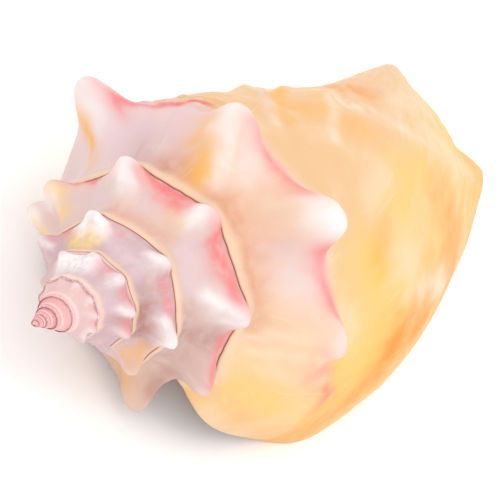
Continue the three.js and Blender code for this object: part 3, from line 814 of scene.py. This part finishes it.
def draw_lining(sheet, turn_of, walls, fine_rows, last, n, room):
    """The room's outer wall, from its deep end to the lip."""
    body = last - n
    rest = np.array(fine_rows[CORNER_ROWS + 1:])
    lining = {}
    for j in range(last - room, last + 1):
        corner = corner_of(walls, body, j - n)
        turns = np.full(len(rest), turn_of[j])
        points = inside_point(turns, rest)
        level = inside_point(turns[:1], np.array([fine_rows[CORNER_ROWS]]))[0]
        pull = np.array(sheet.points[corner]) - level
        hold = np.clip(1 - (rest - fine_rows[CORNER_ROWS]) / CORNER_PULL_ACROSS, 0, 1)
        hold = hold[:, None] ** CORNER_PULL_SOFTNESS
        lining[j] = [corner] + sheet.add(points + pull * hold, turns, rest, 1.0)
    for j in range(last - room, last):
        sheet.strip(lining[j + 1], lining[j])
    deep = last - room
    left = [(k, i) for k, i in zip(np.linspace(0, 1, len(lining[deep])), lining[deep])]
    inner = walls[deep - n]
    right = [(k, i) for k, i in zip(np.linspace(0, 1, len(inner)), inner)]
    sheet.join(left, right)
    return lining


def rounded(sheet, outer, inner, bulge):
    """Point columns on a round edge between two columns, without the columns themselves."""
    a = np.array([sheet.points[i] for i in outer])
    b = np.array([sheet.points[i] for i in inner])
    half = np.linalg.norm(a - b, axis=1, keepdims=True) / 2
    columns = []
    for k in range(1, LIP_ROUND_STEPS + 1):
        angle = math.pi * k / (LIP_ROUND_STEPS + 1)
        reach = np.minimum(half, LIP_BULGE) * math.sin(angle)
        columns.append((a + b) / 2 + (a - b) / 2 * math.cos(angle) + bulge * reach)
    return columns


def draw_lip(sheet, rings, walls, lining, last, n):
    """The rounded edge of the outer lip; gives back its points at the front end."""
    body = last - n
    outer = [i for _, i in rings[last]] + walls[last]
    inner = [rings[body][-1][1]] + walls[body][:CORNER_ROWS] + lining[last][1:]
    points = np.array([sheet.points[i] for i in outer])
    back = np.array([sheet.points[i] for i in [k for _, k in rings[last - 2]] + walls[last - 2]])
    bulge = points - back
    bulge /= np.maximum(np.linalg.norm(bulge, axis=1, keepdims=True), TINY)
    across = np.array([sheet.across[i] for i in outer])
    turns = np.full(len(outer), LIP_TURN)
    ids = []
    for k, column in enumerate(rounded(sheet, outer, inner, bulge)):
        side = (k + 1) / (LIP_ROUND_STEPS + 1)
        ids.append([outer[0]] + sheet.add(column[1:], turns[1:], across[1:], side))
    chain = [outer] + ids + [inner]
    for left, right in zip(chain, chain[1:]):
        sheet.strip(left, right)
    return [column[-1] for column in ids]


def draw_front_end(sheet, walls, lining, lip_corner, turn_of, last, n, room):
    """The rounded rim of the canal and the closed foot of the column."""
    body = last - n
    deep = last - room
    outer = [walls[j][-1] for j in range(deep, last + 1)]
    inner = [lining[j][-1] for j in range(deep, last + 1)]
    a = np.array([sheet.points[walls[j][-1]] for j in range(deep, last + 1)])
    b = np.array([sheet.points[walls[j][-3]] for j in range(deep, last + 1)])
    bulge = a - b
    bulge /= np.linalg.norm(bulge, axis=1, keepdims=True)
    across = np.ones(len(outer))
    turns = np.array(turn_of[deep:])
    ids = []
    for k, column in enumerate(rounded(sheet, outer, inner, bulge)):
        side = (k + 1) / (LIP_ROUND_STEPS + 1)
        ids.append(sheet.add(column[:-1], turns[:-1], across[:-1], side) + [lip_corner[k]])
    chain = [outer] + ids + [inner]
    for left, right in zip(chain, chain[1:]):
        sheet.strip(right, left)
    foot = [walls[j][-1] for j in range(body, deep + 1)]
    foot += [column[0] for column in ids] + [inner[0]]
    foot += [walls[j][-1] for j in range(deep - n, body)]
    centre = sheet.add([(0, 0, FOOT_HEIGHT)], [0.0], [1.0])[0]
    for i, here in enumerate(foot):
        sheet.face(here, foot[(i + 1) % len(foot)], centre)


def rest_matrix():
    """From millimetres round the shell's axis to metres as it lies."""
    back_up = Matrix.Rotation(math.radians(-BACK_UP_DEGREES), 4, "Z")
    lie_down = Matrix(((0, 1, 0, 0), (0, 0, 1, 0), (1, 0, 0, 0), (0, 0, 0, 1)))
    front_down = Matrix.Rotation(math.radians(-FRONT_DOWN_DEGREES), 4, "X")
    return (Matrix.Scale(MM, 4) @ Matrix.Translation(REST_SHIFT) @ front_down @ lie_down
            @ back_up)


def on_paper(turn, across):
    """A point of the surface laid out flat, in millimetres as at turn 0."""
    below = np.maximum(across - SEAM, 0)
    down = MM_ACROSS_THE_TOP * np.minimum(across, SEAM) + MM_ACROSS_THE_WALL * below
    return np.stack([MM_ROUND_A_TURN * turn, down], axis=-1)


def wobble(turn, across, how):
    far, pace_round, pace_across, seed = how
    return far * ripple(turn * pace_round, across * pace_across, seed)


def stroke_strength(turn, across, strokes):
    """How strongly each point is painted by soft brush strokes with uneven edges."""
    here = on_paper(turn + wobble(turn, across, WOBBLE_ROUND),
                    across + wobble(turn, across, WOBBLE_ACROSS))
    out = np.zeros_like(turn)
    for half, strength, path in strokes:
        corners = on_paper(*np.array(path).T)
        for start, end in zip(corners, corners[1:]):
            along = end - start
            share = np.clip((here - start) @ along / (along @ along), 0, 1)
            far = np.sum((here - start - share[:, None] * along) ** 2, axis=1)
            out = np.maximum(out, strength * np.exp(-far / half ** 2))
    return out


def make_shell():
    sheet = draw_shell()
    place = np.array(rest_matrix())
    points = np.array(sheet.points) @ place[:3, :3].T + place[:3, 3]
    # Points a little past the solid's box are drawn back to it
    kept = np.clip(points, np.array(cad_box[0]), np.array(cad_box[1]))
    print("farthest point past the solid's box, mm:", round(np.abs(points - kept).max() / MM, 2))
    mesh = bpy.data.meshes.new("conch_shell")
    mesh.from_pydata(kept.tolist(), [], sheet.faces)
    turn = np.array(sheet.turns)
    across = np.array(sheet.across)
    knob = knob_height(turn) * monotone(across, KNOB_ACROSS, KNOB_SHARE)
    layers = {"turn": turn, "across": across, "inside": np.array(sheet.inside), "knob": knob,
              "frill": frill_share(turn, across)}
    for name, strokes in STROKES.items():
        layers[name] = stroke_strength(turn, across, strokes)
    for name, values in layers.items():
        layer = mesh.attributes.new(name, "FLOAT", "POINT")
        layer.data.foreach_set("value", values.astype(np.float32))
    mesh.validate()
    mesh.update()
    mesh.shade_smooth()
    shell = bpy.data.objects.new("conch_shell", mesh)
    bpy.context.scene.collection.objects.link(shell)
    triangles = sum(len(face) - 2 for face in sheet.faces)
    print("shell triangles", triangles, "points", len(mesh.vertices))
    return shell


def screen(colour, tone=1.0):
    """A screen colour as the light values that shader nodes use."""
    parts = [c / 255 for c in colour]
    light = [c / 12.92 if c <= 0.04045 else ((c + 0.055) / 1.055) ** 2.4 for c in parts]
    return tuple(tone * c for c in light) + (1,)


def shell_colour(colour):
    return screen(colour, SHELL_TONE)


class Paint:
    """Short ways to add and join the nodes of one material."""

    def __init__(self, name):
        self.material = bpy.data.materials.new(name)
        self.material.use_nodes = True
        self.tree = self.material.node_tree
        self.shader = self.tree.nodes["Principled BSDF"]

    def put(self, socket, value):
        if isinstance(value, bpy.types.NodeSocket):
            self.tree.links.new(value, socket)
        else:
            socket.default_value = value

    def attribute(self, name):
        node = self.tree.nodes.new("ShaderNodeAttribute")
        node.attribute_name = name
        return node.outputs["Fac"]

    def calc(self, operation, first, second):
        node = self.tree.nodes.new("ShaderNodeMath")
        node.operation = operation
        self.put(node.inputs[0], first)
        self.put(node.inputs[1], second)
        return node.outputs[0]

    def rise(self, value, low, high, bottom=0.0, top=1.0):
        """Goes smoothly from bottom to top while the value goes from low to high."""
        node = self.tree.nodes.new("ShaderNodeMapRange")
        node.interpolation_type = "SMOOTHSTEP"
        for name, part in (("Value", value), ("From Min", low), ("From Max", high),
                           ("To Min", bottom), ("To Max", top)):
            self.put(node.inputs[name], part)
        return node.outputs["Result"]

    def mix(self, factor, first, second):
        node = self.tree.nodes.new("ShaderNodeMix")
        node.data_type = "RGBA"
        for index, part in ((0, factor), (6, first), (7, second)):
            self.put(node.inputs[index], part)
        return node.outputs[2]

    def noise(self, turn_pace, across_pace, shift, detail):
        """Noise laid along the coil, with its own pace along the turn and across."""
        join = self.tree.nodes.new("ShaderNodeCombineXYZ")
        self.put(join.inputs[0], self.calc("MULTIPLY", self.attribute("turn"), turn_pace))
        self.put(join.inputs[1], self.calc("MULTIPLY", self.attribute("across"), across_pace))
        join.inputs[2].default_value = shift
        node = self.tree.nodes.new("ShaderNodeTexNoise")
        self.put(node.inputs["Vector"], join.outputs[0])
        node.inputs["Scale"].default_value = 1.0
        node.inputs["Detail"].default_value = detail
        return node.outputs["Fac"]

    def growth_lines(self, pace):
        """Fine lines that run across a coil where its edge once was, each a little bent."""
        bend = self.calc("MULTIPLY", self.noise(*BEND_NOISE), LINE_BEND)
        place = self.calc("MULTIPLY", self.calc("ADD", self.attribute("turn"), bend), pace)
        node = self.tree.nodes.new("ShaderNodeTexNoise")
        node.noise_dimensions = "1D"
        self.put(node.inputs["W"], place)
        node.inputs["Scale"].default_value = 1.0
        node.inputs["Detail"].default_value = LINE_DETAIL
        fade = self.rise(self.noise(*FADE_NOISE), *LINES_FADE)
        return self.calc("MULTIPLY", node.outputs["Fac"], fade)

    def by_turn(self, stops):
        """A colour that changes along the coil, from a list of (turn, colour)."""
        first = stops[0][0]
        length = stops[-1][0] - first
        node = self.tree.nodes.new("ShaderNodeValToRGB")
        share = self.calc("DIVIDE", self.calc("SUBTRACT", self.attribute("turn"), first), length)
        self.put(node.inputs["Fac"], share)
        marks = node.color_ramp.elements
        marks[0].color = shell_colour(stops[0][1])
        marks[1].color = shell_colour(stops[-1][1])
        for turn, colour in stops[1:-1]:
            marks.new((turn - first) / length).color = shell_colour(colour)
        return node.outputs["Color"]


def coil_colour(paint):
    """The broad colours: the sloping top by turn, and the wall below the shoulder."""
    turn = paint.attribute("turn")
    across = paint.attribute("across")
    top = paint.mix(paint.rise(turn, *TOP_CHANGES), paint.by_turn(EARLY_TOP_COLOURS),
                    paint.by_turn(LAST_TOP_COLOURS))
    blur = paint.calc("MULTIPLY", paint.noise(*EDGE_NOISE), TOP_RAGGED)
    edge = paint.calc("ADD", across, blur)
    return paint.mix(paint.rise(edge, *TOP_ENDS), top, paint.by_turn(WALL_COLOURS))


def painted_colour(paint):
    """The broad colours with the clouds, the brush strokes, the knobs' tips and the frills."""
    cloud = paint.noise(*CLOUD_NOISE)
    colour = paint.mix(paint.rise(cloud, *CLOUDS_COME), coil_colour(paint), shell_colour(CREAM))
    patchy = paint.rise(paint.noise(*PATCH_NOISE), *STROKES_PATCHY)
    # The strokes include the ramp shade layer, which is painted shade
    for name, shade in STROKE_LAYERS:
        strength = paint.calc("MULTIPLY", paint.attribute(name), patchy)
        colour = paint.mix(strength, colour, shell_colour(shade))
    tips = paint.rise(paint.attribute("knob"), *KNOB_TIPS_COME)
    colour = paint.mix(tips, colour, shell_colour(PALE))
    crests = paint.rise(paint.attribute("frill"), *FRILLS_COME)
    return paint.mix(crests, colour, shell_colour(FRILL))


def lined_colour(paint):
    """The painted colour with fine and broad growth lines."""
    turn = paint.attribute("turn")
    colour = painted_colour(paint)
    lines = paint.rise(paint.growth_lines(FINE_LINES), *FINE_LINES_COME)
    colour = paint.mix(lines, colour, shell_colour(STREAK))
    faint = paint.rise(paint.growth_lines(BROAD_LINES), *BROAD_LINES_COME)
    faint = paint.calc("MULTIPLY", faint, paint.rise(turn, *BROAD_LINES_BY_TURN))
    return paint.mix(faint, colour, shell_colour(CREAM))


def surface_colour(paint):
    """All markings of the outside, with the band, the pale edge at the early seams, which is
    partly painted light, and a line of painted shade at the seams.
    """
    across = paint.attribute("across")
    turn = paint.attribute("turn")
    colour = lined_colour(paint)
    blur = paint.calc("MULTIPLY", paint.noise(*BAND_NOISE), BAND_RAGGED)
    ragged = paint.calc("ADD", across, blur)
    band = paint.calc("MULTIPLY", paint.rise(ragged, *BAND_ENDS), paint.rise(turn, *BAND_BY_TURN))
    colour = paint.mix(band, colour, shell_colour(BAND))
    # The pale edge at the early seams is partly painted light over the shaded groove
    edge = paint.calc("MAXIMUM", paint.rise(across, *EDGE_ABOVE_SEAM),
                      paint.rise(across, *EDGE_BELOW_SEAM))
    edge = paint.calc("MULTIPLY", edge, paint.rise(turn, *EDGE_BY_TURN))
    colour = paint.mix(edge, colour, screen(PALE_EDGE_AND_LIGHT))
    # A thin line of painted shade in the groove at each seam
    line = paint.calc("MULTIPLY", paint.rise(across, *SEAM_SHADE_ENDS),
                      paint.rise(turn, *SEAM_SHADE_BY_TURN))
    return paint.mix(line, colour, shell_colour(PAINTED_SEAM_SHADE))


def shell_bump(paint):
    """Fine relief of growth lines and grain, fainter inside."""
    inside = paint.attribute("inside")
    growth = paint.calc("MULTIPLY", paint.growth_lines(FINE_LINES), LINE_BUMP)
    weave = paint.calc("MULTIPLY", paint.noise(*WEAVE_NOISE), WEAVE_BUMP)
    height = paint.calc("ADD", growth, weave)
    height = paint.calc("MULTIPLY", height, paint.rise(inside, *BUMP_IN_ROOM))
    bump = paint.tree.nodes.new("ShaderNodeBump")
    bump.inputs["Strength"].default_value = BUMP_STRENGTH
    bump.inputs["Distance"].default_value = BUMP_METRES
    paint.put(bump.inputs["Height"], height)
    return bump.outputs["Normal"]


def shell_material():
    paint = Paint("shell_surface")
    turn = paint.attribute("turn")
    inside = paint.attribute("inside")
    room = paint.mix(paint.rise(turn, *ROOM_BY_TURN), shell_colour(INSIDE_PINK),
                     shell_colour(INSIDE_PEACH))
    colour = paint.mix(paint.rise(inside, *ROOM_BEGINS), surface_colour(paint), room)
    rough = paint.rise(paint.noise(*ROUGH_NOISE), *ROUGHNESS_RANGE)
    rough = paint.calc("SUBTRACT", rough, paint.calc("MULTIPLY", inside, ROOM_SMOOTHER_BY))
    inputs = paint.shader.inputs
    paint.put(inputs["Base Color"], colour)
    paint.put(inputs["Roughness"], rough)
    paint.put(inputs["Specular IOR Level"], SHINE)
    paint.put(inputs["Subsurface Weight"], paint.rise(turn, *SOFT_DEPTH_BY_TURN))
    paint.put(inputs["Subsurface Radius"], SOFT_COLOUR_REACH)
    paint.put(inputs["Subsurface Scale"], SOFT_METRES)
    paint.put(inputs["Normal"], shell_bump(paint))
    return paint.material


def make_floor():
    mesh = bpy.data.meshes.new("floor")
    half = FLOOR_HALF_SIZE
    mesh.from_pydata([(-half, -half, 0), (half, -half, 0), (half, half, 0), (-half, half, 0)], [],
                     [(0, 1, 2, 3)])
    floor = bpy.data.objects.new("floor", mesh)
    bpy.context.scene.collection.objects.link(floor)
    material = bpy.data.materials.new("pale_floor")
    material.use_nodes = True
    shader = material.node_tree.nodes["Principled BSDF"]
    shader.inputs["Base Color"].default_value = screen(FLOOR)
    shader.inputs["Roughness"].default_value = FLOOR_ROUGHNESS
    floor.data.materials.append(material)


def view_axes():
    """The picture's right, up and toward-camera directions, in the shell's own axes."""
    a = math.radians(VIEW_AXIS_DEGREES)
    b = math.radians(VIEW_TILT_DEGREES)
    right = Vector((math.sin(b) * math.cos(a), math.sin(a), math.cos(b) * math.cos(a)))
    up = Vector((math.sin(b) * math.sin(a), -math.cos(a), math.cos(b) * math.sin(a)))
    toward = Vector((math.cos(b), 0, -math.sin(b)))
    return right, up, toward


def make_camera():
    right, up, toward = view_axes()
    place = rest_matrix()
    turn = place.to_3x3() * (1 / MM)
    middle = PICTURE_PIXELS / 2
    aim = right * (middle - TIP_PIXEL[0]) + up * (TIP_PIXEL[1] - middle)
    spot = place @ ((aim + toward * VIEW_DISTANCE_PIXELS) * PIXEL_MM)
    axes = Matrix((turn @ right, turn @ up, turn @ toward)).transposed()
    data = bpy.data.cameras.new("camera")
    data.sensor_width = SENSOR_MM
    data.lens = SENSOR_MM * VIEW_DISTANCE_PIXELS / PICTURE_PIXELS
    data.clip_end = CAMERA_REACH
    camera = bpy.data.objects.new("camera", data)
    camera.matrix_world = Matrix.Translation(spot) @ axes.to_4x4()
    bpy.context.scene.collection.objects.link(camera)
    bpy.context.scene.camera = camera


def area_light(name, spot, aim, size, watts):
    data = bpy.data.lights.new(name, "AREA")
    data.shape = "DISK"
    data.size = size
    data.energy = watts
    light = bpy.data.objects.new(name, data)
    light.location = spot
    light.rotation_euler = (Vector(aim) - Vector(spot)).to_track_quat("-Z", "Y").to_euler()
    bpy.context.scene.collection.objects.link(light)


def make_light():
    world = bpy.data.worlds.new("studio")
    bpy.context.scene.world = world
    world.use_nodes = True
    back = world.node_tree.nodes["Background"]
    back.inputs["Color"].default_value = (1, 1, 1, 1)
    back.inputs["Strength"].default_value = WORLD_STRENGTH
    for name, spot, size, watts in LAMPS:
        area_light(name, spot, LAMP_AIM, size, watts)
    bpy.context.scene.view_settings.view_transform = "Standard"


shell = make_shell()
shell.data.materials.append(shell_material())
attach(shell, "root")
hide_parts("shell")
make_floor()
make_camera()
make_light()
